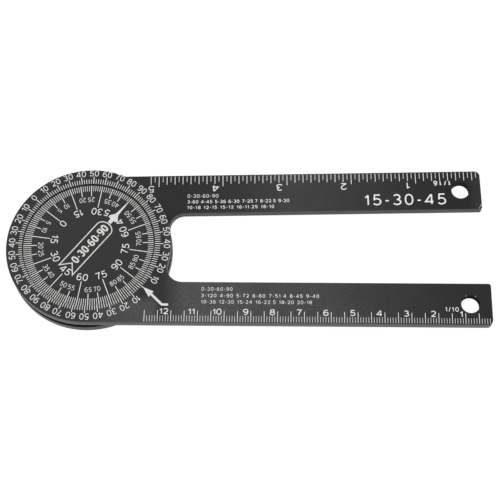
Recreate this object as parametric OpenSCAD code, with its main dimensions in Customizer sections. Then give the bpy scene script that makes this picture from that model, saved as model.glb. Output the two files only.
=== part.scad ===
// Two-arm aluminium protractor for setting a miter saw.
// Two flat plates, each a round head with one straight arm, turn on each other about a flanged dial.
// The dial is screwed to the lower plate and holds the ring-shaped head of the upper plate down on
// a wave spring, so that the arms stay at the angle they are set to.
// The origin is on the pivot axis at the underside, +X runs along the lower arm and +Z is up.

/* [Head] */
// Radius of the round head of both plates
head_r = 31.8; // [30:0.1:38]
// Thickness of each plate
plate_t = 3.4; // [3:0.1:5]
// Gap between the two plates, which the washers and the spring fill
plate_gap = 2.5; // [2.2:0.1:4]
// Chamfer along the outer edges of both plates
edge_chamfer = 0.15; // [0.1:0.05:0.5]

/* [Arms] */
// Distance from the pivot axis to the end of an arm
arm_reach = 153; // [110:0.2:220]
// Width of an arm
arm_w = 16.5; // [12:0.1:20]
// Radius of the fillet between an arm's inner edge and the head
root_fillet_r = 6; // [3:0.5:12]
// Radius of the corner at the end of an arm's outer edge
outer_corner_r = 2; // [0.8:0.1:4]
// Radius of the corner at the end of an arm's inner edge
inner_corner_r = 1; // [0.8:0.1:3]
// Angle by which the upper arm is turned open from the lower one
rest_angle = 1.2; // [0:0.1:180]

/* [Hanging holes] */
// Diameter of the hole at the end of each arm
hang_hole_d = 7; // [4:0.5:8]
// Distance from the middle of the hole to the end of the arm
hang_hole_inset = 8; // [7:0.5:20]
// Chamfer at both mouths of the hole
hang_hole_chamfer = 0.15; // [0.1:0.05:0.5]

/* [Dial] */
// Width of the ring that is left of the upper head round the dial
ring_w = 6.4; // [5:0.1:8]
// Thickness of the dial's flange
dial_flange_t = 1.5; // [1.2:0.1:1.7]
// Width of the flange outside the hub, which lies over the ring's ledge
dial_flange_w = 4.35; // [3:0.05:6]
// Radial gap between the dial's rim and the ring
dial_rim_gap = 0.1; // [0.05:0.01:0.3]
// Running clearance between the hub and the ring's ledge
hub_clearance = 0.05; // [0.02:0.01:0.1]
// Play between each face that turns and the face it slides on
face_play = 0.03; // [0.02:0.01:0.1]
// Chamfer round the dial's face and round the ring's inner edge
rim_chamfer = 0.15; // [0.05:0.05:0.3]
// Radius of the spigot that centres the dial in the lower plate
spigot_r = 7; // [4:0.5:8]
// Length of the spigot
spigot_l = 1.2; // [0.8:0.1:1.6]
// Clearance round and under the spigot
spigot_clearance = 0.05; // [0.02:0.01:0.2]

/* [Washers and spring] */
// Thickness of the slip washer under the dial's flange
slip_washer_t = 0.3; // [0.2:0.05:0.5]
// Thickness of each thrust washer between the plates
thrust_washer_t = 0.7; // [0.4:0.05:0.8]
// Clearance between the washers and the dial or ring that centres them
washer_clearance = 0.1; // [0.05:0.05:0.3]
// Distance from the rim of the thrust washers to the rim of the head
washer_setback = 3.5; // [2:0.5:5]
// Thickness of the wave spring's steel strip
spring_strip_t = 0.3; // [0.15:0.05:0.4]
// Width of the wave spring's strip
spring_strip_w = 4; // [2:0.5:5]
// Number of waves round the spring
spring_waves = 5; // [3:1:8]

/* [Screws] */
// Distance from the middle of a screw to the rim of the hub
screw_inset = 8; // [6:0.5:9]
// Outer diameter of the screw's thread
screw_d = 3; // [2:0.5:3]
// Diameter of the countersunk head
screw_head_d = 5.6; // [4.8:0.1:6]
// Depth of the head below the underside of the plate
screw_head_recess = 0.15; // [0.05:0.05:0.4]
// Length of thread in the dial
screw_engagement = 3; // [2:0.5:3.5]
// Clearance round the head and the thread
screw_clearance = 0.03; // [0.02:0.01:0.1]
// Width across flats of the hexagon socket
screw_socket_af = 2; // [1.5:0.5:2]
// Depth of the hexagon socket
screw_socket_depth = 1.2; // [0.8:0.1:1.5]

/* [Hidden] */
// Smoothness of the round forms
$fn = 128;
// Extra length of a cut past the face that it goes through
past = 1;
// Depth that the root fillet runs into the head and into the arm, so that their faces cross
root_overlap = 0.01;

// Levels of the stack, from the underside up
upper_z = plate_t + plate_gap;
face_z = upper_z + plate_t;
flange_z = face_z - dial_flange_t;
ledge_z = flange_z - slip_washer_t - face_play;
lower_washer_z = plate_t;
spring_z = lower_washer_z + thrust_washer_t;
upper_washer_z = upper_z - face_play - thrust_washer_t;
spring_space = upper_washer_z - spring_z;

// Edges and holes of an arm
arm_out = head_r;
arm_in = head_r - arm_w;
arm_mid = (arm_out + arm_in) / 2;
hang_hole_x = arm_reach - hang_hole_inset;
fillet_y = arm_in + root_overlap - root_fillet_r;
fillet_x = sqrt(pow(head_r + root_fillet_r - root_overlap, 2) - pow(fillet_y, 2));

// Radii about the pivot axis
counterbore_r = head_r - ring_w;
dial_r = counterbore_r - dial_rim_gap;
hub_r = dial_r - dial_flange_w;
ledge_r = hub_r + hub_clearance;
washer_in_r = hub_r + washer_clearance;
slip_washer_out_r = dial_r - washer_clearance;
thrust_washer_out_r = head_r - washer_setback;
spring_mid_r = (washer_in_r + thrust_washer_out_r) / 2;

// Wave spring
spring_amplitude = (spring_space - spring_strip_t) / 2 - face_play;
spring_stations = 12 * spring_waves;

// Screws, one node for each
screw_count = 4;
screw_circle_r = hub_r - screw_inset;
screw_r = screw_d / 2;
screw_head_r = screw_head_d / 2;
screw_cone_h = screw_head_r - screw_r;
screw_l = plate_t - screw_head_recess + screw_engagement;
screw_angle = 360 / screw_count;
tapped_hole_l = screw_engagement + 0.4;

black_anodised = "#45423f";
dial_black = "#3a3a3b";
washer_black = "#1c1c1d";
spring_steel = "#9a9da0";
screw_steel = "#77797b";

// Flat disc with a chamfer round both faces
module chamfered_disc(r, t, c) {
    rotate_extrude()
        polygon([[0, 0], [r - c, 0], [r, c], [r, t - c], [r - c, t], [0, t]]);
}

// Flat ring with square edges
module flat_ring(in_r, out_r, t) {
    rotate_extrude()
        translate([in_r, 0])
            square([out_r - in_r, t]);
}

// Section of a plate whose chamfered edge is at position edge and which reaches back to position back
module edge_section(back, edge) {
    dir = sign(edge - back);
    polygon([[back, 0], [edge - dir * edge_chamfer, 0], [edge, edge_chamfer],
        [edge, plate_t - edge_chamfer], [edge - dir * edge_chamfer, plate_t], [back, plate_t]]);
}

// Strip of the arm along one of its long edges
module arm_strip(edge, length) {
    rotate([90, 0, 90])
        linear_extrude(length)
            edge_section(arm_mid - sign(edge - arm_mid), edge);
}

// Arm along +X with its outer edge tangent to the head
module arm() {
    end_w = arm_w - outer_corner_r - inner_corner_r;
    corner_depth = outer_corner_r + inner_corner_r;
    arm_strip(arm_out, arm_reach - outer_corner_r);
    arm_strip(arm_in, arm_reach - inner_corner_r);
    translate([0, arm_out - outer_corner_r, 0])
        rotate([90, 0, 0])
            linear_extrude(end_w)
                edge_section(arm_reach - corner_depth, arm_reach);
    translate([arm_reach - outer_corner_r, arm_out - outer_corner_r, 0])
        chamfered_disc(outer_corner_r, plate_t, edge_chamfer);
    translate([arm_reach - inner_corner_r, arm_in + inner_corner_r, 0])
        chamfered_disc(inner_corner_r, plate_t, edge_chamfer);
}

// Web that rounds the corner between the head and the arm's inner edge
module root_web() {
    flare = edge_chamfer + past;
    difference() {
        linear_extrude(plate_t)
            polygon([[0, 0], [fillet_x, fillet_y], [fillet_x, arm_in + past], [0, arm_in + past]]);
        translate([fillet_x, fillet_y, 0])
            rotate_extrude()
                polygon([[0, -past], [root_fillet_r + flare, -past], [root_fillet_r, edge_chamfer],
                    [root_fillet_r, plate_t - edge_chamfer], [root_fillet_r + flare, plate_t + past],
                    [0, plate_t + past]]);
    }
}

// Round hole with a chamfer at both mouths
module chamfered_hole(r, t, c) {
    flare = c + past;
    rotate_extrude()
        polygon([[0, -past], [r + flare, -past], [r, c], [r, t - c], [r + flare, t + past],
            [0, t + past]]);
}

// Head, arm and hanging hole, the shape that both plates are cut to
module plate_blank() {
    difference() {
        union() {
            chamfered_disc(head_r, plate_t, edge_chamfer);
            arm();
            root_web();
        }
        translate([hang_hole_x, arm_mid, 0])
            chamfered_hole(hang_hole_d / 2, plate_t, hang_hole_chamfer);
    }
}

// Place of screw number i on its circle
module at_screw(i) {
    rotate([0, 0, screw_angle * (i - 0.5)])
        translate([screw_circle_r, 0, 0])
            children();
}

// Countersunk clearance hole for one screw, from the underside
module screw_hole() {
    grown_head_r = screw_head_r + screw_clearance;
    grown_r = screw_r + screw_clearance;
    rotate_extrude()
        polygon([[0, -past], [grown_head_r, -past], [grown_head_r, screw_head_recess],
            [grown_r, screw_head_recess + screw_cone_h], [grown_r, plate_t + past],
            [0, plate_t + past]]);
}

// Lower plate: base disc and inch arm, with the seat of the dial
module inch_arm_plate() {
    pocket_l = spigot_l + spigot_clearance;
    color(black_anodised)
        difference() {
            plate_blank();
            translate([0, 0, plate_t - pocket_l])
                cylinder(h = pocket_l + past, r = spigot_r + spigot_clearance);
            for (i = [1 : screw_count])
                at_screw(i)
                    screw_hole();
        }
}

// Bore of the ring, with the ledge that the dial's flange lies over
module stepped_bore() {
    ledge_t = ledge_z - upper_z;
    flare = rim_chamfer + past;
    rotate_extrude()
        polygon([[0, -past], [ledge_r, -past], [ledge_r, ledge_t], [counterbore_r, ledge_t],
            [counterbore_r, plate_t - rim_chamfer], [counterbore_r + flare, plate_t + past],
            [0, plate_t + past]]);
}

// Upper plate: ring and centimetre arm, mirrored and turned open to its place at rest
module cm_arm_plate() {
    color(black_anodised)
        translate([0, 0, upper_z])
            rotate([0, 0, -rest_angle])
                mirror([0, 1, 0])
                    difference() {
                        plate_blank();
                        stepped_bore();
                    }
}

// Dial: face, flange, hub and spigot turned from one piece, with blind tapped holes
module dial() {
    color(dial_black)
        difference() {
            rotate_extrude()
                polygon([[0, plate_t - spigot_l], [spigot_r, plate_t - spigot_l], [spigot_r, plate_t],
                    [hub_r, plate_t], [hub_r, flange_z], [dial_r, flange_z],
                    [dial_r, face_z - rim_chamfer], [dial_r - rim_chamfer, face_z], [0, face_z]]);
            for (i = [1 : screw_count])
                at_screw(i)
                    translate([0, 0, plate_t - past])
                        cylinder(h = tapped_hole_l + past, r = screw_r + screw_clearance);
        }
}

// Thin slip washer under the flange, over the ring's ledge
module slip_washer() {
    color(washer_black)
        translate([0, 0, flange_z - slip_washer_t])
            flat_ring(washer_in_r, slip_washer_out_r, slip_washer_t);
}

// Thrust washer at height z between the plates
module thrust_washer(z) {
    color(washer_black)
        translate([0, 0, z])
            flat_ring(washer_in_r, thrust_washer_out_r, thrust_washer_t);
}

module lower_thrust_washer() {
    thrust_washer(lower_washer_z);
}

module upper_thrust_washer() {
    thrust_washer(upper_washer_z);
}

// Height of the spring's middle surface at angle a
function wave_z(a) = spring_z + spring_space / 2 + spring_amplitude * cos(spring_waves * a);

// Four corners of the spring's strip at angle a, in order round its section
function strip_section(a) = [
    for (corner = [[-1, -1], [1, -1], [1, 1], [-1, 1]])
        let (r = spring_mid_r + corner[0] * spring_strip_w / 2)
            [r * cos(a), r * sin(a), wave_z(a) + corner[1] * spring_strip_t / 2]
];

// Wave spring: a flat strip ring that rises and falls between the thrust washers
module wave_spring() {
    points = [for (i = [0 : spring_stations - 1]) each strip_section(360 * i / spring_stations)];
    faces = [
        for (i = [0 : spring_stations - 1])
            for (k = [0 : 3])
                let (j = (i + 1) % spring_stations, m = (k + 1) % 4)
                    each [[4 * i + k, 4 * j + k, 4 * i + m], [4 * i + m, 4 * j + k, 4 * j + m]]
    ];
    color(spring_steel)
        polyhedron(points, faces);
}

// Countersunk screw with a hexagon socket, standing on its head at screw position i
module dial_screw(i) {
    color(screw_steel)
        at_screw(i)
            translate([0, 0, screw_head_recess])
                difference() {
                    rotate_extrude()
                        polygon([[0, 0], [screw_head_r, 0], [screw_r, screw_cone_h],
                            [screw_r, screw_l], [0, screw_l]]);
                    translate([0, 0, -past])
                        cylinder(h = screw_socket_depth + past, d = screw_socket_af / cos(30), $fn = 6);
                }
}

inch_arm_plate();
cm_arm_plate();
dial();
slip_washer();
lower_thrust_washer();
wave_spring();
upper_thrust_washer();
dial_screw(1);  // dial_screw_1
dial_screw(2);  // dial_screw_2
dial_screw(3);  // dial_screw_3
dial_screw(4);  // dial_screw_4
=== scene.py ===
"""Two-arm protractor of black anodised aluminium with white marked scales, lying on a white table."""

import math

import bmesh
import bpy
from mathutils import Matrix, Vector


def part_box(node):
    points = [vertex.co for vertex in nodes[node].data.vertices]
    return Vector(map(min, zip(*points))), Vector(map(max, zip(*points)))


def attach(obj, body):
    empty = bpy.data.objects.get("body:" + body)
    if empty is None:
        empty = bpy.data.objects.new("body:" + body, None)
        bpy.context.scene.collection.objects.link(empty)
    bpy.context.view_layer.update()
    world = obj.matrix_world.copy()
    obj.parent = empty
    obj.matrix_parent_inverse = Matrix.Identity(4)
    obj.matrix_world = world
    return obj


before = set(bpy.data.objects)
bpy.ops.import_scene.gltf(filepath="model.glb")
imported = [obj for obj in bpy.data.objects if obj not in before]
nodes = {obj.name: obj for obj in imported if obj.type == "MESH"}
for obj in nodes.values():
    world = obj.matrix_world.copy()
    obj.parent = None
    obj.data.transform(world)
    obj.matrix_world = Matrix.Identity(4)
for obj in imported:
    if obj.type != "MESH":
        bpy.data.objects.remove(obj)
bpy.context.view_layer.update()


# Lower plate: a round base disc and the inch arm, cut from one sheet of aluminium alloy 3.4 mm thick.
# The sheet is fine-blasted, chamfered, dyed black in the anodising bath and sealed. Its chamfers are
# rubbed brown in places, and one corner at the free end has been knocked to bare metal.

def linear(code):
    """An opaque sRGB hex colour as linear values for a shader socket."""
    channels = [int(code[i:i + 2], 16) / 255 for i in (1, 3, 5)]
    return tuple(c / 12.92 if c <= 0.04045 else ((c + 0.055) / 1.055) ** 2.4 for c in channels) + (1.0,)


def add_node(tree, kind, inputs=None, **settings):
    """Adds a node. Each input goes by name or number, and is a value, another node's output, or a node,
    which gives its first output."""
    added = tree.nodes.new(kind)
    for name, value in settings.items():
        setattr(added, name, value)
    for key, value in (inputs or {}).items():
        if isinstance(value, bpy.types.Node):
            value = value.outputs[0]
        if isinstance(value, bpy.types.NodeSocket):
            tree.links.new(value, added.inputs[key])
        else:
            added.inputs[key].default_value = value
    return added


def new_finish(name):
    """An empty material's tree, with its Principled shader and its object coordinates."""
    material = bpy.data.materials.new(name)
    material.use_nodes = True
    tree = material.node_tree
    shader = tree.nodes["Principled BSDF"]
    place = add_node(tree, "ShaderNodeTexCoord").outputs["Object"]
    return material, tree, shader, place


def layered_colour(tree, first, layers):
    """A hex colour with others laid over it in turn, each where its mask is 1. layers lists (mask, hex)."""
    colour = linear(first)
    for mask, code in layers:
        mixed = add_node(tree, "ShaderNodeMix", {0: mask, 6: colour, 7: linear(code)}, data_type="RGBA")
        colour = mixed.outputs[2]
    return colour


def from_axis(tree, place, x=0.0, y=0.0):
    """Distance from the upright axis through x and y, in metres."""
    flat = add_node(tree, "ShaderNodeVectorMath", {0: place, 1: (1.0, 1.0, 0.0)}, operation="MULTIPLY")
    away = add_node(tree, "ShaderNodeVectorMath", {0: flat.outputs[0], 1: (x, y, 0.0)}, operation="DISTANCE")
    return away.outputs["Value"]


def product(tree, *values):
    """All the values multiplied together, such as masks that must all hold."""
    result = values[0]
    for value in values[1:]:
        result = add_node(tree, "ShaderNodeMath", {0: result, 1: value}, operation="MULTIPLY").outputs[0]
    return result


upright_limit = 0.3
chamfer_lean = 0.707


def face_lean(tree):
    """How far a face looks up: 1 for a level one, 0 for an upright wall, 0.707 for a chamfer."""
    facing = add_node(tree, "ShaderNodeNewGeometry").outputs["Normal"]
    upward = add_node(tree, "ShaderNodeSeparateXYZ", {"Vector": facing}).outputs["Z"]
    return add_node(tree, "ShaderNodeMath", {0: upward}, operation="ABSOLUTE").outputs[0]


def rub_mask(tree, place, lean, rubbed):
    """Up to the given share on the chamfers, broken up along them."""
    leeway = 0.2
    chamfer = add_node(tree, "ShaderNodeMath", {0: lean, 1: chamfer_lean, 2: leeway}, operation="COMPARE")
    # The rubbed stretches are about 4 mm long.
    streaks = add_node(tree, "ShaderNodeTexNoise", {"Vector": place, "Scale": 260.0, "Detail": 3.0})
    patchy = add_node(tree, "ShaderNodeMapRange",
                      {"Value": streaks.outputs["Fac"], "From Min": 0.35, "From Max": 0.62,
                       "To Min": rubbed * 0.5, "To Max": rubbed})
    return product(tree, chamfer.outputs[0], patchy.outputs[0])


def bare_mask(tree, place, spots):
    """1 where the metal is bare, round each spot (place and radius in metres), with a torn edge."""
    # The edge is torn in steps of about half a millimetre.
    tear = add_node(tree, "ShaderNodeTexNoise", {"Vector": place, "Scale": 1800.0, "Detail": 2.0})
    covered = None
    for point, radius in spots:
        away = add_node(tree, "ShaderNodeVectorMath", {0: place, 1: point}, operation="DISTANCE")
        torn = add_node(tree, "ShaderNodeMath",
                        {0: tear.outputs["Fac"], 1: 0.6 * radius, 2: away.outputs["Value"]},
                        operation="MULTIPLY_ADD")
        spot = add_node(tree, "ShaderNodeMapRange",
                        {"Value": torn.outputs[0], "From Min": 1.2 * radius, "From Max": radius})
        if covered is None:
            covered = spot.outputs[0]
        else:
            covered = add_node(tree, "ShaderNodeMath", {0: covered, 1: spot.outputs[0]},
                               operation="MAXIMUM").outputs[0]
    return covered


def black_anodised(name, dark, light, edge, tone_and_sheen, speckle, rubbed, roughness, holes=(), spots=(), sheen_patches=()):
    """Fine-blasted aluminium, dyed black and sealed: a dark matt face under a thin clear oxide skin.
    dark and light are the face's tones and edge the upright walls' tone, all as hex colours; edge is lighter
    as a painted reflection of the white table.
    tone_and_sheen lists (x in metres, share of the light tone): on the arms a painted sheen that pales the
    face along the arm, and on the dial a steady tone.
    speckle is how far the grain varies that share, and rubbed is the most that the chamfers have worn.
    holes lists the hanging holes' places, and spots the bare places and their radii.
    sheen_patches lists pools of painted sheen: the x where each begins, is full, fades and ends, the y where
    it begins and is full, and its share."""
    hole_rim = 0.0042
    groove, half_groove = 0.02535, 0.00027
    groove_far_y = 0.012
    material, tree, shader, place = new_finish(name)
    # Blasting grain is about 0.1 mm. It is drawn 0.7 mm wide, so that it shows in a small picture.
    grain = add_node(tree, "ShaderNodeTexNoise",
                     {"Vector": place, "Scale": 1500.0, "Detail": 2.0, "Roughness": 0.7})
    # The dye's clouds are about 18 mm wide.
    cloud = add_node(tree, "ShaderNodeTexNoise",
                     {"Vector": place, "Scale": 55.0, "Detail": 3.0, "Roughness": 0.55})
    along = add_node(tree, "ShaderNodeSeparateXYZ", {"Vector": place})
    reach = add_node(tree, "ShaderNodeMapRange",
                     {"Value": along.outputs["X"], "From Min": tone_and_sheen[0][0], "From Max": tone_and_sheen[-1][0]})
    pale = add_node(tree, "ShaderNodeValToRGB", {"Fac": reach.outputs[0]})
    span = tone_and_sheen[-1][0] - tone_and_sheen[0][0]
    stops = pale.color_ramp.elements
    stops.remove(stops[1])
    stops[0].position = 0.0
    stops[0].color = (tone_and_sheen[0][1],) * 3 + (1,)
    for x, share in tone_and_sheen[1:]:
        stops.new((x - tone_and_sheen[0][0]) / span).color = (share,) * 3 + (1,)
    # The share of the light tone is the steady tone with the painted sheen, made uneven by the clouds and
    # speckled by the grain.
    clouded = add_node(tree, "ShaderNodeMapRange",
                       {"Value": cloud.outputs["Fac"], "From Min": 0.3, "From Max": 0.7,
                        "To Min": 0.85, "To Max": 1.15})
    speckled = add_node(tree, "ShaderNodeMapRange",
                        {"Value": grain.outputs["Fac"], "From Min": 0.3, "From Max": 0.7,
                         "To Min": 1 - speckle, "To Max": 1 + speckle})
    tone_and_sheen_share = pale.outputs["Color"]
    # Each patch adds a pool of painted sheen to the share of the light tone.
    for x_begins, x_full, x_fades, x_ends, y_begins, y_full, most in sheen_patches:
        sides = [add_node(tree, "ShaderNodeMapRange",
                          {"Value": along.outputs[axis], "From Min": outer, "From Max": inner},
                          interpolation_type="SMOOTHSTEP").outputs[0]
                 for axis, outer, inner in (("X", x_begins, x_full), ("X", x_ends, x_fades),
                                            ("Y", y_begins, y_full))]
        tone_and_sheen_share = add_node(tree, "ShaderNodeMath", {0: tone_and_sheen_share, 1: product(tree, *sides, most)},
                         operation="ADD").outputs[0]
    share = product(tree, tone_and_sheen_share, clouded.outputs[0], speckled.outputs[0])
    lean = face_lean(tree)
    # Upright walls are painted a lighter purple-grey than the faces, as a painted reflection of the white
    # table, except in the holes.
    wall_sheen_mask = add_node(tree, "ShaderNodeMath", {0: lean, 1: upright_limit}, operation="LESS_THAN").outputs[0]
    chamfer = rub_mask(tree, place, lean, rubbed)
    for x, y in holes:
        outside = add_node(tree, "ShaderNodeMath", {0: from_axis(tree, place, x, y), 1: hole_rim},
                           operation="GREATER_THAN").outputs[0]
        wall_sheen_mask = product(tree, wall_sheen_mask, outside)
        chamfer = product(tree, chamfer, outside)
    # Painted shade darkens the groove between the dial's rim and the ring, most of it on the far side.
    in_groove = add_node(tree, "ShaderNodeMath", {0: from_axis(tree, place), 1: groove, 2: half_groove},
                         operation="COMPARE").outputs[0]
    far_side_shade = add_node(tree, "ShaderNodeMapRange",
                        {"Value": along.outputs["Y"], "From Min": -groove_far_y, "From Max": groove_far_y,
                         "To Min": 0.1})
    painted_groove_shade = product(tree, in_groove, far_side_shade.outputs[0])
    # The chamfers outside the groove are rubbed brown, and a little of the metal shines through.
    chamfer = add_node(tree, "ShaderNodeMath", {0: chamfer, 1: in_groove}, operation="SUBTRACT",
                       use_clamp=True).outputs[0]
    # 050505 is the groove's painted shade; the brown #7a6150 is wear rubbed on the chamfers.
    layers = [(share, light), (wall_sheen_mask, edge), (painted_groove_shade, "#050505"), (chamfer, "#7a6150")]
    metal = product(tree, chamfer, 0.3)
    if spots:
        bare = bare_mask(tree, place, spots)
        layers.append((bare, "#b5aca0"))
        metal = add_node(tree, "ShaderNodeMath", {0: metal, 1: bare}, operation="MAXIMUM").outputs[0]
    tree.links.new(layered_colour(tree, dark, layers), shader.inputs["Base Color"])
    tree.links.new(metal, shader.inputs["Metallic"])
    sheen = add_node(tree, "ShaderNodeMapRange",
                     {"Value": cloud.outputs["Fac"], "From Min": 0.3, "From Max": 0.7,
                      "To Min": roughness - 0.04, "To Max": roughness + 0.05})
    tree.links.new(sheen.outputs[0], shader.inputs["Roughness"])
    shader.inputs["Specular IOR Level"].default_value = 0.25
    relief = add_node(tree, "ShaderNodeBump",
                      {"Height": grain.outputs["Fac"], "Distance": 0.00002, "Strength": 0.35})
    tree.links.new(relief.outputs["Normal"], shader.inputs["Normal"])
    return material


def dress(name, material):
    """Gives a CAD node's mesh its finish."""
    nodes[name].data.materials.clear()
    nodes[name].data.materials.append(material)


def deep_black():
    """Near-black painted shade for the hanging holes' walls and the far side of the groove round the dial."""
    material, tree, shader, place = new_finish("black_anodised_painted_shade")
    # The cutter left these walls rough, with marks about 0.3 mm apart.
    marks = add_node(tree, "ShaderNodeTexNoise", {"Vector": place, "Scale": 3000.0, "Detail": 1.0})
    # Both tones are kept near black as painted shade; the cutter's marks vary between them.
    colour = layered_colour(tree, "#1a1818", [(marks.outputs["Fac"], "#2c2828")])
    tree.links.new(colour, shader.inputs["Base Color"])
    shader.inputs["Roughness"].default_value = 0.75
    shader.inputs["Specular IOR Level"].default_value = 0.04
    return material


def coat_faces(name, material, chosen):
    """Gives a second finish to those faces of a CAD node that the test chooses."""
    mesh = nodes[name].data
    mesh.materials.append(material)
    for face in mesh.polygons:
        if chosen(face):
            face.material_index = 1


def on_hole_wall(face, x, y):
    """Whether a face is on the wall, of 3.5 mm radius, of the hole at x and y."""
    just_past_wall = 0.0036
    upright = abs(face.normal.z) < upright_limit
    return upright and math.hypot(face.center.x - x, face.center.y - y) < just_past_wall


def on_far_groove(face):
    """Whether a face is on a wall or chamfer of the groove round the dial, on the far side."""
    groove_inside, groove_outside = 0.025, 0.0256
    steep = abs(face.normal.z) < 0.9
    in_groove = groove_inside < math.hypot(*face.center[:2]) < groove_outside
    return steep and face.center.y > 0 and in_groove


inch_hole = (0.145, 0.02355)
# The lower plate's face is painted with a paler sheen over the middle of the arm.
dress("inch_arm_plate", black_anodised(
    "black_anodised_inch_arm", dark="#0a0a0b", light="#393838", edge="#3f3b3d",
    tone_and_sheen=[(-0.034, 0.05), (0.035, 0.04), (0.057, 0.3), (0.08, 0.95), (0.1, 0.62), (0.14, 0.08),
          (0.1475, 0.05), (0.1515, 0.4)],
    speckle=0.45, rubbed=0.3, roughness=0.42, holes=[inch_hole],
    spots=[((0.1525, 0.0167, 0.0034), 0.0004), ((0.1519, 0.0158, 0.0034), 0.00028),
           ((0.1528, 0.0174, 0.0034), 0.00025)]))
# The hanging hole's wall gets the near-black painted shade.
painted_shade_walls = deep_black()
coat_faces("inch_arm_plate", painted_shade_walls, lambda face: on_hole_wall(face, *inch_hole))


# Upper plate: the ring that carries the outer degree scale, and the centimetre arm, cut from the same
# sheet. Its face is painted with a paler, warmer grey sheen along the arm. It is turned 1.2 degrees open at
# rest.

open_angle = math.radians(-1.2)


def on_open_arm(x, y, z):
    """A point of the centimetre arm's own layout, in millimetres, as a place in the frame in metres."""
    return tuple(Matrix.Rotation(open_angle, 3, "Z") @ Vector((x, y, z)) / 1000)


cm_hole = on_open_arm(145.0, -23.55, 0.0)[:2]
dress("cm_arm_plate", black_anodised(
    "black_anodised_cm_arm", dark="#0b0b0c", light="#555354", edge="#5d595b",
    tone_and_sheen=[(-0.034, 0.11), (0.02, 0.07), (0.029, 0.09), (0.037, 0.67), (0.06, 0.615), (0.092, 0.49),
          (0.112, 0.29), (0.131, 0.145), (0.15, 0.072)],
    speckle=0.5, rubbed=0.9, roughness=0.42, holes=[cm_hole],
    spots=[(on_open_arm(152.9, -30.75, 9.1), 0.00045), (on_open_arm(143.5, -20.35, 9.25), 0.0003),
           (on_open_arm(147.0, -20.5, 9.25), 0.00025)],
    # These patches are pools of painted sheen on the ring and the arm's root.
    sheen_patches=[(-0.004, 0.02, 0.0255, 0.0285, -0.0205, -0.0255, 0.5),
             (-0.04, -0.03, 0.012, 0.03, 0.002, -0.012, 0.06)]))
# The hanging hole's wall and the groove's far side get the near-black painted shade.
coat_faces("cm_arm_plate", painted_shade_walls, lambda face: on_hole_wall(face, *cm_hole) or on_far_groove(face))


# Dial: turned from aluminium bar in one piece with its hub, faced flat, blasted and dyed black like
# the plates. It is screwed to the lower plate, and its rim stands a hair's breadth inside the ring.

dress("dial", black_anodised(
    "black_anodised_dial", dark="#0d0d0e", light="#2f2f30", edge="#5d595b",
    tone_and_sheen=[(-0.027, 0.4), (0.0, 0.45), (0.027, 0.4)], speckle=0.5, rubbed=0.0, roughness=0.45))
# The groove's far side on the dial gets the near-black painted shade.
coat_faces("dial", painted_shade_walls, on_far_groove)


# Washers: two thick ones between the plates and a thin one under the dial's flange, punched from
# black acetal sheet, which is waxy and wears to a faint shine in rings where the faces slide.

def black_acetal():
    """Acetal with a mottled black and sliding marks in rings round the axis."""
    material, tree, shader, place = new_finish("black_acetal_sheet")
    # Sliding marks lie about 0.4 mm apart.
    turned = add_node(tree, "ShaderNodeTexNoise",
                      {"W": from_axis(tree, place), "Scale": 2500.0, "Detail": 1.0},
                      noise_dimensions="1D")
    mottle = add_node(tree, "ShaderNodeTexNoise", {"Vector": place, "Scale": 900.0, "Detail": 2.0})
    colour = layered_colour(tree, "#18181a", [(mottle.outputs["Fac"], "#232325")])
    tree.links.new(colour, shader.inputs["Base Color"])
    shine = add_node(tree, "ShaderNodeMapRange",
                     {"Value": turned.outputs["Fac"], "To Min": 0.3, "To Max": 0.55})
    tree.links.new(shine.outputs[0], shader.inputs["Roughness"])
    shader.inputs["IOR"].default_value = 1.48
    return material


acetal = black_acetal()
for washer in ("slip_washer", "lower_thrust_washer", "upper_thrust_washer"):
    dress(washer, acetal)


# Wave spring: a flat ring of cold-rolled spring steel strip, pressed into five waves and tempered,
# which leaves rolling lines round the strip and a faint straw tint.

def rolled_steel():
    """Spring steel with its rolling lines in rings round the axis."""
    material, tree, shader, place = new_finish("tempered_spring_steel")
    # Rolling lines, 0.15 mm apart, run round the strip.
    lines = add_node(tree, "ShaderNodeTexNoise",
                     {"W": from_axis(tree, place), "Scale": 6500.0, "Detail": 2.0},
                     noise_dimensions="1D")
    tint = add_node(tree, "ShaderNodeTexNoise", {"Vector": place, "Scale": 120.0})
    colour = layered_colour(tree, "#a3a5a8", [(tint.outputs["Fac"], "#a89c86")])
    tree.links.new(colour, shader.inputs["Base Color"])
    shader.inputs["Metallic"].default_value = 1.0
    shine = add_node(tree, "ShaderNodeMapRange",
                     {"Value": lines.outputs["Fac"], "To Min": 0.22, "To Max": 0.42})
    tree.links.new(shine.outputs[0], shader.inputs["Roughness"])
    return material


dress("wave_spring", rolled_steel())


# Dial screws: four M3 countersunk socket screws of zinc-plated steel, driven from the underside.
# The plating is a cool grey with a faint bluish bloom, duller in patches.

def zinc_plate():
    """Zinc plating, whose bloom is also its dullness, over a fine relief."""
    material, tree, shader, place = new_finish("zinc_plated_screws")
    bloom = add_node(tree, "ShaderNodeTexNoise", {"Vector": place, "Scale": 700.0, "Detail": 3.0})
    colour = layered_colour(tree, "#8f9296", [(bloom.outputs["Fac"], "#a9adb3")])
    tree.links.new(colour, shader.inputs["Base Color"])
    shader.inputs["Metallic"].default_value = 1.0
    dull = add_node(tree, "ShaderNodeMapRange",
                    {"Value": bloom.outputs["Fac"], "To Min": 0.26, "To Max": 0.46})
    tree.links.new(dull.outputs[0], shader.inputs["Roughness"])
    fine = add_node(tree, "ShaderNodeTexNoise", {"Vector": place, "Scale": 9000.0})
    relief = add_node(tree, "ShaderNodeBump",
                      {"Height": fine.outputs["Fac"], "Distance": 0.00001, "Strength": 0.3})
    tree.links.new(relief.outputs["Normal"], shader.inputs["Normal"])
    return material


zinc = zinc_plate()
for number in range(1, 5):
    dress(f"dial_screw_{number}", zinc)


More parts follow.
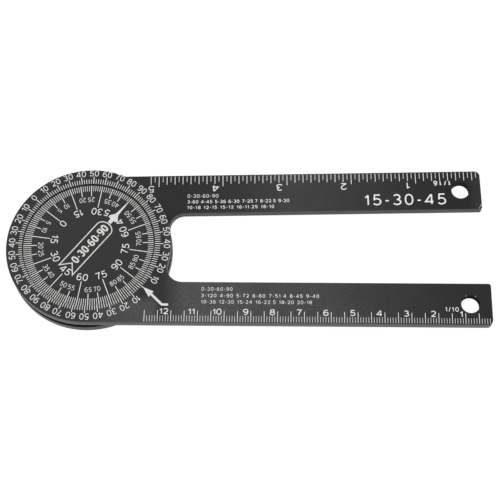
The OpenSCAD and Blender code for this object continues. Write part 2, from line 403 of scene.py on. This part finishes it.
# Degree lines: burnt into the black skin by a marking laser, which leaves a warm white crust that
# stands a hair proud. One line for each 2 degrees, longer ones at each numbered step.

# In millimetres: how far a mark reaches into the face, how far it stands proud, and the step between the
# layers that crossing strokes lie on.
print_sink = 0.005
print_height = 0.02
print_layer_step = 0.004
upper_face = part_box("cm_arm_plate")[1].z * 1000
lower_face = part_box("inch_arm_plate")[1].z * 1000
# In the photograph both round scales are marked about half a millimetre off the pivot, x and y here.
ring_zero, ring_middle = 140.05, (0.36, 0.36)
dial_zero, dial_middle = 140.81, (0.53, 0.045)


def laser_mark(name, white, shade):
    """Laser-marked anodising: matt, warm white, with thin places where the burn has not quite covered."""
    material, tree, shader, place = new_finish(name)
    # The laser's dots are 0.05 mm wide. Their unevenness is drawn 0.5 mm wide.
    crust = add_node(tree, "ShaderNodeTexNoise", {"Vector": place, "Scale": 2000.0, "Detail": 2.0})
    thin = add_node(tree, "ShaderNodeMapRange",
                    {"Value": crust.outputs["Fac"], "From Min": 0.3, "From Max": 0.55})
    tree.links.new(layered_colour(tree, shade, [(thin.outputs[0], white)]), shader.inputs["Base Color"])
    shader.inputs["Roughness"].default_value = 0.7
    shader.inputs["Specular IOR Level"].default_value = 0.3
    relief = add_node(tree, "ShaderNodeBump",
                      {"Height": crust.outputs["Fac"], "Distance": 0.00001, "Strength": 0.4})
    tree.links.new(relief.outputs["Normal"], shader.inputs["Normal"])
    return material


mark_white = laser_mark("laser_mark_white", "#fbfaf7", "#e8e5e0")
mark_filled = laser_mark("laser_mark_filled", "#e7e6e3", "#d7d6d2")


def lines_tree(name, round_scale):
    """A tree that lays out a scale's lines, round the axis or along a straight edge, in millimetres."""
    tree = bpy.data.node_groups.new(name, "GeometryNodeTree")
    for label, kind in (("Lines", "Int"), ("First line", "Int"), ("Zero", "Float"), ("Step", "Float"),
                        ("Root", "Float"), ("Root lean", "Float"), ("Far root", "Float"),
                        ("Short end", "Float"), ("Middle end", "Float"), ("Long end", "Float"),
                        ("Middle every", "Int"), ("Long every", "Int"), ("Short width", "Float"),
                        ("Long width", "Float"), ("Underside", "Float"), ("Thickness", "Float"),
                        ("Middle x", "Float"), ("Middle y", "Float"), ("Turn", "Float"),
                        ("Finish", "Material")):
        tree.interface.new_socket(label, in_out="INPUT", socket_type="NodeSocket" + kind)
    tree.interface.new_socket("Geometry", in_out="OUTPUT", socket_type="NodeSocketGeometry")
    size = add_node(tree, "NodeGroupInput").outputs

    # Each line is short, middle or long by its number, which sets where it ends and how wide it is.
    index = add_node(tree, "GeometryNodeInputIndex")
    number = add_node(tree, "ShaderNodeMath", {0: index, 1: size["First line"]}, operation="ADD")
    numbered = {}
    for kind in ("Middle", "Long"):
        left_over = add_node(tree, "ShaderNodeMath", {0: number, 1: size[kind + " every"]},
                             operation="MODULO")
        numbered[kind] = add_node(tree, "ShaderNodeMath", {0: left_over, 1: 0.0, 2: 0.5},
                                  operation="COMPARE")
    end = size["Short end"]
    for kind, chosen in numbered.items():
        end = add_node(tree, "GeometryNodeSwitch",
                       {"Switch": chosen, "False": end, "True": size[kind + " end"]}, input_type="FLOAT")
    width = add_node(tree, "GeometryNodeSwitch",
                     {"Switch": numbered["Middle"], "False": size["Short width"], "True": size["Long width"]},
                     input_type="FLOAT")

    level = add_node(tree, "ShaderNodeMath", {0: size["Thickness"], 1: 0.5, 2: size["Underside"]},
                     operation="MULTIPLY_ADD")
    along = add_node(tree, "ShaderNodeMath", {0: number, 1: size["Step"], 2: size["Zero"]},
                     operation="MULTIPLY_ADD")
    if round_scale:
        # The lines start round the pivot, wherever the middle of the scale lies. On the far side they
        # leave a wider strip of the rim bare.
        cosine = add_node(tree, "ShaderNodeMath", {0: along}, operation="COSINE")
        sine = add_node(tree, "ShaderNodeMath", {0: along}, operation="SINE")
        sideways = add_node(tree, "ShaderNodeMath", {0: size["Middle y"], 1: sine}, operation="MULTIPLY")
        towards = add_node(tree, "ShaderNodeMath", {0: size["Middle x"], 1: cosine, 2: sideways},
                           operation="MULTIPLY_ADD")
        from_pivot = add_node(tree, "ShaderNodeMath", {0: size["Far root"], 1: sine, 2: size["Root"]},
                              operation="MULTIPLY_ADD")
        root = add_node(tree, "ShaderNodeMath", {0: from_pivot, 1: towards}, operation="SUBTRACT")
    else:
        root = add_node(tree, "ShaderNodeMath", {0: along, 1: size["Root lean"], 2: size["Root"]},
                        operation="MULTIPLY_ADD")
    reach = add_node(tree, "ShaderNodeMath", {0: end, 1: root}, operation="SUBTRACT")
    length = add_node(tree, "ShaderNodeMath", {0: reach}, operation="ABSOLUTE")
    both_ends = add_node(tree, "ShaderNodeMath", {0: end, 1: root}, operation="ADD")
    halfway = add_node(tree, "ShaderNodeMath", {0: both_ends, 1: 0.5}, operation="MULTIPLY")
    if round_scale:
        place = {axis: add_node(tree, "ShaderNodeMath", {0: halfway, 1: share, 2: scale_middle},
                                operation="MULTIPLY_ADD")
                 for axis, share, scale_middle in (("X", cosine, size["Middle x"]),
                                                   ("Y", sine, size["Middle y"]))}
        turn = {"Z": along}
        block = {"X": length, "Y": width, "Z": size["Thickness"]}
    else:
        place = {"X": along, "Y": halfway}
        turn = {}
        block = {"X": width, "Y": length, "Z": size["Thickness"]}

    # A bar of 1 by 1 by 1 stands at each line's place, stretched to its size, and all are turned and
    # brought from millimetres to metres.
    spots = add_node(tree, "GeometryNodePoints",
                     {"Count": size["Lines"],
                      "Position": add_node(tree, "ShaderNodeCombineXYZ", {**place, "Z": level})})
    bar = add_node(tree, "GeometryNodeMeshCube", {"Size": (1.0, 1.0, 1.0)})
    bars = add_node(tree, "GeometryNodeInstanceOnPoints",
                    {"Points": spots, "Instance": bar,
                     "Rotation": add_node(tree, "ShaderNodeCombineXYZ", turn),
                     "Scale": add_node(tree, "ShaderNodeCombineXYZ", block)})
    turned = add_node(tree, "GeometryNodeTransform",
                      {"Geometry": bars,
                       "Rotation": add_node(tree, "ShaderNodeCombineXYZ", {"Z": size["Turn"]}),
                       "Scale": (0.001, 0.001, 0.001)})
    solid = add_node(tree, "GeometryNodeRealizeInstances", {"Geometry": turned})
    finished = add_node(tree, "GeometryNodeSetMaterial", {"Geometry": solid, "Material": size["Finish"]})
    add_node(tree, "NodeGroupOutput", {"Geometry": finished})
    return tree


def lay_lines(piece, body, tree, sizes):
    """Runs a lines tree with these sizes, and leaves a plain mesh that rides on the body."""
    maker = bpy.data.objects.new(piece + "_maker", bpy.data.meshes.new(piece + "_maker"))
    bpy.context.scene.collection.objects.link(maker)
    modifier = maker.modifiers.new("lines", "NODES")
    modifier.node_group = tree
    for item in tree.interface.items_tree:
        if item.name in sizes:
            modifier[item.identifier] = sizes[item.name]
    mesh = bpy.data.meshes.new_from_object(maker.evaluated_get(bpy.context.evaluated_depsgraph_get()))
    bpy.data.objects.remove(maker)
    lines = bpy.data.objects.new(piece, mesh)
    bpy.context.scene.collection.objects.link(lines)
    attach(lines, body)


round_lines = lines_tree("round_scale_lines", True)
print_layer = {"Thickness": print_sink + print_height, "Finish": mark_white}
lay_lines("ring_degree_lines", "cm_arm", round_lines, {
    **print_layer, "Lines": 180, "First line": 0, "Zero": math.radians(ring_zero), "Step": math.radians(2),
    "Root": 25.6, "Far root": 0.25, "Short end": 27.4, "Middle end": 28.55, "Long end": 28.55,
    "Middle every": 5, "Long every": 5,
    "Middle x": ring_middle[0], "Middle y": ring_middle[1],
    "Short width": 0.205, "Long width": 0.26, "Underside": upper_face - print_sink, "Turn": open_angle})
lay_lines("dial_degree_lines", "inch_arm", round_lines, {
    **print_layer, "Lines": 180, "First line": 0, "Zero": math.radians(dial_zero), "Step": math.radians(2),
    "Root": 25.12, "Far root": -0.23, "Short end": 22.52, "Middle end": 20.4, "Long end": 15.6,
    "Middle every": 5, "Long every": 15,
    "Middle x": dial_middle[0], "Middle y": dial_middle[1],
    "Short width": 0.19, "Long width": 0.26, "Underside": upper_face - print_sink, "Turn": 0.0})


# Rulers: full-size lines along the outer edges of the two arms, millimetres on one and sixteenths of
# an inch on the other, both counted from the free end of the arm. Marked by the same laser.

# The centimetre arm's scale was marked a fifth of a degree askew, and its lines start level with the edge.
arm_end = 153.0
askew = math.radians(-0.2)
straight_lines = lines_tree("straight_scale_lines", False)
lay_lines("cm_ruler_lines", "cm_arm", straight_lines, {
    **print_layer, "Lines": 130, "First line": 1, "Zero": arm_end, "Step": -1.0,
    "Root": -31.35, "Root lean": -math.tan(askew),
    "Short end": -28.75, "Middle end": -26.78, "Long end": -26.78,
    "Middle every": 5, "Long every": 5, "Short width": 0.145, "Long width": 0.2,
    "Underside": upper_face - print_sink, "Turn": open_angle + askew})
lay_lines("inch_ruler_lines", "inch_arm", straight_lines, {
    **print_layer, "Lines": 82, "First line": 1, "Zero": arm_end, "Step": -25.4 / 16,
    "Root": 31.35, "Short end": 28.95, "Middle end": 27.9, "Long end": 26.85,
    "Middle every": 2, "Long every": 16,
    "Short width": 0.18, "Long width": 0.23, "Underside": lower_face - print_sink, "Turn": 0.0})


# Numerals of the scales: laser-marked like the lines, as plain upright sans figures of one even stroke.
# The dial's have their tops toward the axis, to be read from outside, and the ring's toward the rim.

def offset_path(path, distance, closed):
    """The path moved sideways to its left by distance, with sharp corners."""
    moved = []
    for i, here in enumerate(path):
        before = path[i - 1] if closed or i else None
        after = path[(i + 1) % len(path)] if closed or i < len(path) - 1 else None
        sides = []
        for a, b in ((before, here), (here, after)):
            if a is not None and b is not None:
                run = Vector((b[0] - a[0], b[1] - a[1])).normalized()
                sides.append(Vector((-run.y, run.x)))
        middle = sum(sides, Vector((0, 0))).normalized()
        moved.append(tuple(Vector(here) + middle * (distance / middle.dot(sides[0]))))
    return moved


def stroke_shape(path, width, closed):
    """Points and faces of a line of that width along a path."""
    left = offset_path(path, width / 2, closed)
    right = offset_path(path, -width / 2, closed)
    count = len(path)
    faces = [[count + i, count + (i + 1) % count, (i + 1) % count, i]
             for i in range(count if closed else count - 1)]
    return left + right, faces


def bow(x, y, half_width, half_height, start, end, points=13):
    """Points along a part of an ellipse, from one angle to another in degrees."""
    turns = [math.radians(start + (end - start) * i / (points - 1)) for i in range(points)]
    return [(x + half_width * math.cos(t), y + half_height * math.sin(t)) for t in turns]


def ring_of(x, y, half_width, half_height, points=20):
    """Points round a slightly squared ellipse."""
    turns = [2 * math.pi * i / points for i in range(points)]
    return [(x + half_width * math.copysign(abs(math.cos(t)) ** 0.88, math.cos(t)),
             y + half_height * math.copysign(abs(math.sin(t)) ** 0.88, math.sin(t))) for t in turns]


six = [(ring_of(0.5, 0.29, 0.5, 0.29), True), (bow(0.56, 0.48, 0.56, 0.52, 58, 180) + [(0.0, 0.29)], False)]
# Each figure: its width as a share of a 0, and its strokes, which are paths in a box that is 1 by 1, with
# whether each is closed.
figures = {
    "0": (1.0, [(ring_of(0.5, 0.5, 0.5, 0.5), True)]),
    "1": (0.58, [([(0.84, 0.0), (0.84, 1.0)], False), ([(0.0, 0.74), (0.45, 0.82), (0.8, 0.96)], False)]),
    "2": (1.0, [(bow(0.49, 0.7, 0.47, 0.3, 160, -8) + [(0.86, 0.48), (0.5, 0.26), (0.05, 0.02)], False),
                ([(0.0, 0.0), (1.0, 0.0)], False)]),
    "3": (1.0, [(bow(0.46, 0.76, 0.44, 0.24, 150, -90), False),
                (bow(0.47, 0.26, 0.53, 0.26, 90, -150), False)]),
    "4": (1.08, [([(0.78, 0.0), (0.78, 1.0)], False), ([(0.7, 0.98), (0.0, 0.25), (1.0, 0.25)], False)]),
    "5": (1.0, [([(0.93, 1.0), (0.17, 1.0), (0.1, 0.46)], False),
                (bow(0.46, 0.31, 0.54, 0.31, 140, -145), False)]),
    "6": (1.0, six),
    "7": (1.0, [([(0.0, 1.0), (1.0, 1.0), (0.62, 0.52), (0.4, 0.0)], False)]),
    "8": (1.0, [(ring_of(0.5, 0.765, 0.42, 0.235), True), (ring_of(0.5, 0.265, 0.5, 0.265), True)]),
    "9": (1.0, [([(1 - x, 1 - y) for x, y in path], closed) for path, closed in six]),
    "-": (0.55, [([(0.0, 0.4), (1.0, 0.4)], False)]),
    ".": (0.3, [([(0.5, 0.0), (0.5, 0.06)], False)]),
    "/": (0.6, [([(0.0, -0.02), (1.0, 1.02)], False)]),
    " ": (0.55, []),
}


def add_print(marks, points, faces, level):
    """Adds a flat shape, in millimetres, to a mesh as a closed print on the face at that level."""
    low = [marks.verts.new((x, y, level - print_sink)) for x, y in points]
    high = [marks.verts.new((x, y, level + print_height)) for x, y in points]
    edges = {(a, b) for face in faces for a, b in zip(face, face[1:] + face[:1])}
    for face in faces:
        marks.faces.new([high[i] for i in face])
        marks.faces.new([low[i] for i in reversed(face)])
    for a, b in edges:
        if (b, a) not in edges:
            marks.faces.new([low[a], low[b], high[b], high[a]])


def print_number(marks, text, centre, level, height, figure_width, stroke, turn=0.0, gap=None, width=None):
    """Prints a number round its centre, turned by so many degrees. Given a width, the gaps fill it.
    Each stroke of a figure lies a layer higher than the last, so that no two faces share a plane."""
    widths = [figures[c][0] * figure_width for c in text]
    if gap is None:
        gap = 0.16 * height
    if width is not None:
        gap = (width - sum(widths)) / (len(text) - 1)
    cos_turn, sin_turn = math.cos(math.radians(turn)), math.sin(math.radians(turn))
    left = -(sum(widths) + gap * (len(text) - 1)) / 2
    for character, box in zip(text, widths):
        for order, (path, closed) in enumerate(figures[character][1], 1):
            flat = [(left + stroke / 2 + px * (box - stroke),
                     stroke / 2 + py * (height - stroke) - height / 2) for px, py in path]
            placed = [(centre[0] + u * cos_turn - v * sin_turn, centre[1] + u * sin_turn + v * cos_turn)
                      for u, v in flat]
            add_print(marks, *stroke_shape(placed, stroke, closed), level + order * print_layer_step)
        left += box + gap


def around(radius, angle, middle):
    """A point at that radius and angle in degrees from the middle of a round scale."""
    turn = math.radians(angle)
    return middle[0] + radius * math.cos(turn), middle[1] + radius * math.sin(turn)


def finish_marks(piece, body, marks, finish, turn=0.0):
    """Turns marks laid out in millimetres into a piece in metres that rides on the body."""
    bmesh.ops.recalc_face_normals(marks, faces=marks.faces)
    mesh = bpy.data.meshes.new(piece)
    marks.to_mesh(mesh)
    marks.free()
    mesh.transform(Matrix.Rotation(turn, 4, "Z") @ Matrix.Scale(0.001, 4))
    mesh.materials.append(finish)
    made = bpy.data.objects.new(piece, mesh)
    bpy.context.scene.collection.objects.link(made)
    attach(made, body)


# The ring is numbered by tens, from 0 to 90 and back on each side. The second 0 is left out, because the
# zero arrow marks it.
ring_numerals_r = 29.95
arrow_step = 18
ring_numbers = bmesh.new()
for step in range(36):
    angle = ring_zero + 10 * step
    value = min(10 * step % 180, -10 * step % 180)
    if step != arrow_step:
        print_number(ring_numbers, str(value), around(ring_numerals_r, angle, ring_middle), upper_face,
                     height=2.45, figure_width=1.6, stroke=0.245, turn=angle - 90)
finish_marks("ring_degree_numerals", "cm_arm", ring_numbers, mark_white, open_angle)

# The dial is numbered by fives from 0 to 90 on each side, two degrees of turn for each degree of cut.
small_numerals_r, large_numerals_r, parted_figures_r = 18.88, 13.87, 14.45
dial_numbers = bmesh.new()
for value in range(0, 95, 5):
    for side in ((1, -1) if 0 < value < 90 else (1,)):
        angle = dial_zero + side * 2 * value
        if value % 15:
            print_number(dial_numbers, str(value), around(small_numerals_r, angle, dial_middle), upper_face,
                         height=1.95, figure_width=1.15, stroke=0.165, turn=angle + 90)
        elif value == 45 and side == -1:
            # The pointer stands between the two figures of this number.
            for figure, off in (("5", 14.6), ("4", -12.2)):
                middle = around(parted_figures_r, angle + off, dial_middle)
                print_number(dial_numbers, figure, middle, upper_face,
                             height=2.75, figure_width=1.9, stroke=0.3, turn=angle + 90 + off)
        else:
            print_number(dial_numbers, str(value), around(large_numerals_r, angle, dial_middle), upper_face,
                         height=2.8, figure_width=1.9, stroke=0.3, turn=angle + 90)
finish_marks("dial_numerals", "inch_arm", dial_numbers, mark_white)

# Counted from the free end, the centimetre numerals start 1 mm past their line, and the inch ones have
# their middle 3 mm past it.
cm_numerals_y, cm_figure_width, cm_figure_gap = -27.1, 1.95, 0.3
cm_numbers = bmesh.new()
for centimetre in range(1, 13):
    text = str(centimetre)
    wide = sum(figures[c][0] for c in text) * cm_figure_width + cm_figure_gap * (len(text) - 1)
    middle = arm_end - 10 * centimetre - 1.0 - wide / 2
    print_number(cm_numbers, text, (middle, cm_numerals_y), upper_face,
                 height=2.4, figure_width=cm_figure_width, stroke=0.32, gap=cm_figure_gap)
finish_marks("cm_ruler_numerals", "cm_arm", cm_numbers, mark_white, open_angle + askew)

inch_numerals_y = 25.93
inch_numbers = bmesh.new()
for inch in range(1, 6):
    middle = arm_end - 25.4 * inch - 3.0
    print_number(inch_numbers, str(inch), (middle, inch_numerals_y), lower_face,
                 height=2.9, figure_width=2.45, stroke=0.38, turn=180)
finish_marks("inch_ruler_numerals", "inch_arm", inch_numbers, mark_white)


# Pointer: an outlined banner with swallow tails across the dial, whose arrowhead points along the
# 45 line. Laser-marked. The banner holds plain bold numbers.

pointer_angle = dial_zero - 90
banner_level = upper_face + 4 * print_layer_step
arrowhead_level = upper_face + 5 * print_layer_step
tail_x, notch_x, side_y, shoulder_x, nose_x = -13.75, -10.1, 3.42, 8.1, 10.85
nose = [(shoulder_x + (nose_x - shoulder_x) * math.cos(math.radians(a)), side_y * math.sin(math.radians(a)))
        for a in range(-90, 91, 10)]
banner = [(tail_x, -side_y)] + nose + [(tail_x, side_y), (notch_x, 0.0)]
# One half of the arrowhead: its neck, its rounded barb and its long fine tip.
half_head = [(11.3, 0.75), (13.0, 0.75), (13.0, 1.3), (13.15, 1.8), (13.5, 2.08), (13.9, 2.02), (14.5, 1.62),
             (15.2, 1.05), (15.8, 0.66), (16.6, 0.52), (19.5, 0.33), (23.2, 0.12)]
pointer = bmesh.new()
add_print(pointer, *stroke_shape(banner, 0.4, True), banner_level)
arrowhead = [(x, -y) for x, y in half_head] + half_head[::-1]
add_print(pointer, arrowhead, [list(range(len(arrowhead)))], arrowhead_level)
print_number(pointer, "0-30-60-90", (0.1, 0.0), upper_face,
             height=3.4, figure_width=1.95, stroke=0.58, width=18.8)
bmesh.ops.rotate(pointer, verts=pointer.verts, cent=(0, 0, 0),
                 matrix=Matrix.Rotation(math.radians(pointer_angle), 3, "Z"))
bmesh.ops.translate(pointer, verts=pointer.verts, vec=(*dial_middle, 0))
finish_marks("dial_pointer", "inch_arm", pointer, mark_filled)


# Zero arrow: a bent arrow on the centimetre arm's root, which points at the ring's lower zero line.
# Laser-marked and filled like the pointer, in one closed outline.

arrow = bmesh.new()
arrow_tip, upper_barb, lower_barb = (21.91, -17.55), (25.97, -19.28), (24.28, -21.55)
shaft_path = [(25.12, -20.4), (29.35, -24.57), (31.72, -24.57)]
shaft = stroke_shape(shaft_path, 0.9, False)[0]
upper_side, lower_side = shaft[:len(shaft_path)], shaft[len(shaft_path):]
arrow_outline = [arrow_tip, lower_barb] + lower_side + upper_side[::-1] + [upper_barb]
add_print(arrow, arrow_outline, [list(range(len(arrow_outline)))], upper_face + print_layer_step)
finish_marks("zero_arrow", "cm_arm", arrow, mark_filled, open_angle)


# Number rows and units: plain numbers in rows, a frame's number of sides with the turn at its corners on
# the centimetre arm, and with half of that turn, the saw's angle, on the inch arm. Above the rows and in
# the large figures stand plain angles, and near each free end the size of a ruler's division.

# Each row: its text, its ends along the arm, its foot, its height and its stroke, and on the inch arm its
# turn in degrees.
cm_rows = bmesh.new()
for text, left, right, foot, height, stroke in (
        ("0-30-60-90", 44.1, 55.8, -18.88, 1.4, 0.145),
        ("3-120 4-90 5-72 6-60 7-51.4 8-45 9-40", 44.1, 88.4, -21.53, 1.4, 0.165),
        ("10-36 12-30 15-24 16-22.5 18-20 20-18", 44.1, 85.7, -24.05, 1.4, 0.15),
        ("1/10", 135.4, 140.4, -26.64, 1.83, 0.23)):
    print_number(cm_rows, text, ((left + right) / 2, foot + height / 2), upper_face,
                 height=height, figure_width=0.68 * height, stroke=stroke, width=right - left)
finish_marks("cm_arm_number_rows", "cm_arm", cm_rows, mark_white, open_angle)

inch_rows = bmesh.new()
for text, left, right, foot, height, stroke, turn in (
        ("0-30-60-90", 37.4, 49.6, 21.92, 1.5, 0.17, 0),
        ("3-60 4-45 5-36 6-30 7-25.7 8-22.5 9-20", 37.4, 77.55, 19.45, 1.4, 0.2, 0),
        ("10-18 12-15 15-12 16-11.25 18-10", 37.4, 71.55, 16.97, 1.4, 0.2, 0),
        ("15-30-45", 107.1, 139.1, 17.46, 4.8, 0.56, 0),
        ("1/16", 134.6, 141.4, 25.76, 2.1, 0.36, 180)):
    print_number(inch_rows, text, ((left + right) / 2, foot + height / 2), lower_face,
                 height=height, figure_width=0.7 * height, stroke=stroke, turn=turn, width=right - left)
finish_marks("inch_arm_number_rows", "inch_arm", inch_rows, mark_white)


# Table and surroundings: a white table in a white tent. To the camera the table is the tent's white, and
# it keeps a soft shadow under the arms. Light gets through it where something stands over it within
# 8 mm, so that the underside can be seen from below.

def white_table():
    """White to the camera, diffuse to the object, and clear from below and close under the object."""
    light_gap = 0.008
    material = bpy.data.materials.new("white_table")
    material.use_nodes = True
    tree = material.node_tree
    tree.nodes.remove(tree.nodes["Principled BSDF"])
    rays = add_node(tree, "ShaderNodeLightPath").outputs
    mirrored = add_node(tree, "ShaderNodeMath", {0: rays["Is Glossy Ray"], 1: rays["Is Transmission Ray"]},
                        operation="MAXIMUM")
    plain = add_node(tree, "ShaderNodeBsdfDiffuse", {"Color": (0.8, 0.8, 0.8, 1)})
    faint = add_node(tree, "ShaderNodeBsdfDiffuse", {"Color": (0.12, 0.12, 0.12, 1)})
    white = add_node(tree, "ShaderNodeEmission", {"Strength": 0.95})
    seen = add_node(tree, "ShaderNodeAddShader", {0: faint.outputs[0], 1: white.outputs[0]})
    glow = add_node(tree, "ShaderNodeEmission", {"Strength": 0.12})
    reflected = add_node(tree, "ShaderNodeAddShader", {0: plain.outputs[0], 1: glow.outputs[0]})
    # Reflections see the table a little brighter than its diffuse white.
    lit = add_node(tree, "ShaderNodeMixShader",
                   {0: mirrored.outputs[0], 1: plain.outputs[0], 2: reflected.outputs[0]})
    clear = add_node(tree, "ShaderNodeBsdfTransparent")
    close = add_node(tree, "ShaderNodeMath", {0: rays["Ray Length"], 1: light_gap}, operation="LESS_THAN")
    around_it = add_node(tree, "ShaderNodeMixShader",
                         {0: close.outputs[0], 1: lit.outputs[0], 2: clear.outputs[0]})
    top = add_node(tree, "ShaderNodeMixShader",
                   {0: rays["Is Camera Ray"], 1: around_it.outputs[0], 2: seen.outputs[0]})
    under = add_node(tree, "ShaderNodeNewGeometry").outputs["Backfacing"]
    both = add_node(tree, "ShaderNodeMixShader", {0: under, 1: top.outputs[0], 2: clear.outputs[0]})
    tree.links.new(both.outputs[0], tree.nodes["Material Output"].inputs["Surface"])
    return material


# The table lies a tenth of a millimetre below the plate, so that no two faces share a plane.
table_half, table_level = 4.0, -0.0001
table = bpy.data.objects.new("table", bpy.data.meshes.new("table"))
corners = [(-table_half, -table_half), (table_half, -table_half),
           (table_half, table_half), (-table_half, table_half)]
table.data.from_pydata([(x, y, table_level) for x, y in corners], [], [(0, 1, 2, 3)])
table.data.materials.append(white_table())
bpy.context.scene.collection.objects.link(table)

tent = bpy.data.worlds.new("white_tent")
tent.use_nodes = True
bpy.context.scene.world = tent
# The tent is white to the camera and in reflections, and lights the object a little less.
tent_rays = add_node(tent.node_tree, "ShaderNodeLightPath").outputs
tent_seen = tent_rays["Is Camera Ray"]
for ray in ("Is Glossy Ray", "Is Transmission Ray"):
    tent_seen = add_node(tent.node_tree, "ShaderNodeMath", {0: tent_seen, 1: tent_rays[ray]},
                         operation="MAXIMUM").outputs[0]
tent_level = add_node(tent.node_tree, "ShaderNodeMapRange",
                      {"Value": tent_seen, "To Min": 0.8, "To Max": 1.0})
tent_light = tent.node_tree.nodes["Background"]
tent_light.inputs["Color"].default_value = (1, 1, 1, 1)
tent.node_tree.links.new(tent_level.outputs[0], tent_light.inputs["Strength"])


# Lamps: a large softbox past the dial on the far side, and a weaker one past the arms' free ends on the
# near side, which fills the shadows. Both are plain white.

def softbox(name, place, aim, width, power):
    """A square area lamp of that width in metres and power in watts, aimed at a point."""
    lamp = bpy.data.lights.new(name, "AREA")
    lamp.shape = "SQUARE"
    lamp.size = width
    lamp.energy = power
    holder = bpy.data.objects.new(name, lamp)
    holder.location = place
    holder.rotation_euler = (Vector(aim) - Vector(place)).to_track_quat("-Z", "Y").to_euler()
    bpy.context.scene.collection.objects.link(holder)


softbox("main_softbox", place=(-0.28, 0.42, 0.75), aim=(0.03, 0.0, 0.0), width=0.55, power=1.2)
softbox("fill_softbox", place=(0.55, -0.5, 0.7), aim=(0.06, 0.0, 0.0), width=0.6, power=0.8)


# Camera: found from the rulers' lines in the photograph. It stands on the near arm's side, 473 mm from
# the upper face and 67 degrees above it, and is rolled by 3 degrees.

camera_elevation = math.radians(66.713)
camera_azimuth = math.radians(2.79)
camera_roll = math.radians(-3.346)
camera_distance = 472.592
camera_target = Vector((62.101, -3.381, 9.3))
back = Vector((math.sin(camera_azimuth) * math.cos(camera_elevation),
               -math.cos(camera_azimuth) * math.cos(camera_elevation), math.sin(camera_elevation)))
level_right = Vector((math.cos(camera_azimuth), math.sin(camera_azimuth), 0))
level_up = back.cross(level_right)
right = math.cos(camera_roll) * level_right + math.sin(camera_roll) * level_up
up = -math.sin(camera_roll) * level_right + math.cos(camera_roll) * level_up
lens = bpy.data.cameras.new("camera")
lens.sensor_width = 36.0
lens.lens = 89.0225
lens.clip_start, lens.clip_end = 0.01, 20.0
camera = bpy.data.objects.new("camera", lens)
camera.matrix_world = (Matrix.Translation((camera_target + camera_distance * back) / 1000)
                       @ Matrix((right, up, back)).transposed().to_4x4())
bpy.context.scene.collection.objects.link(camera)
bpy.context.scene.camera = camera
bpy.context.scene.view_settings.view_transform = "Standard"
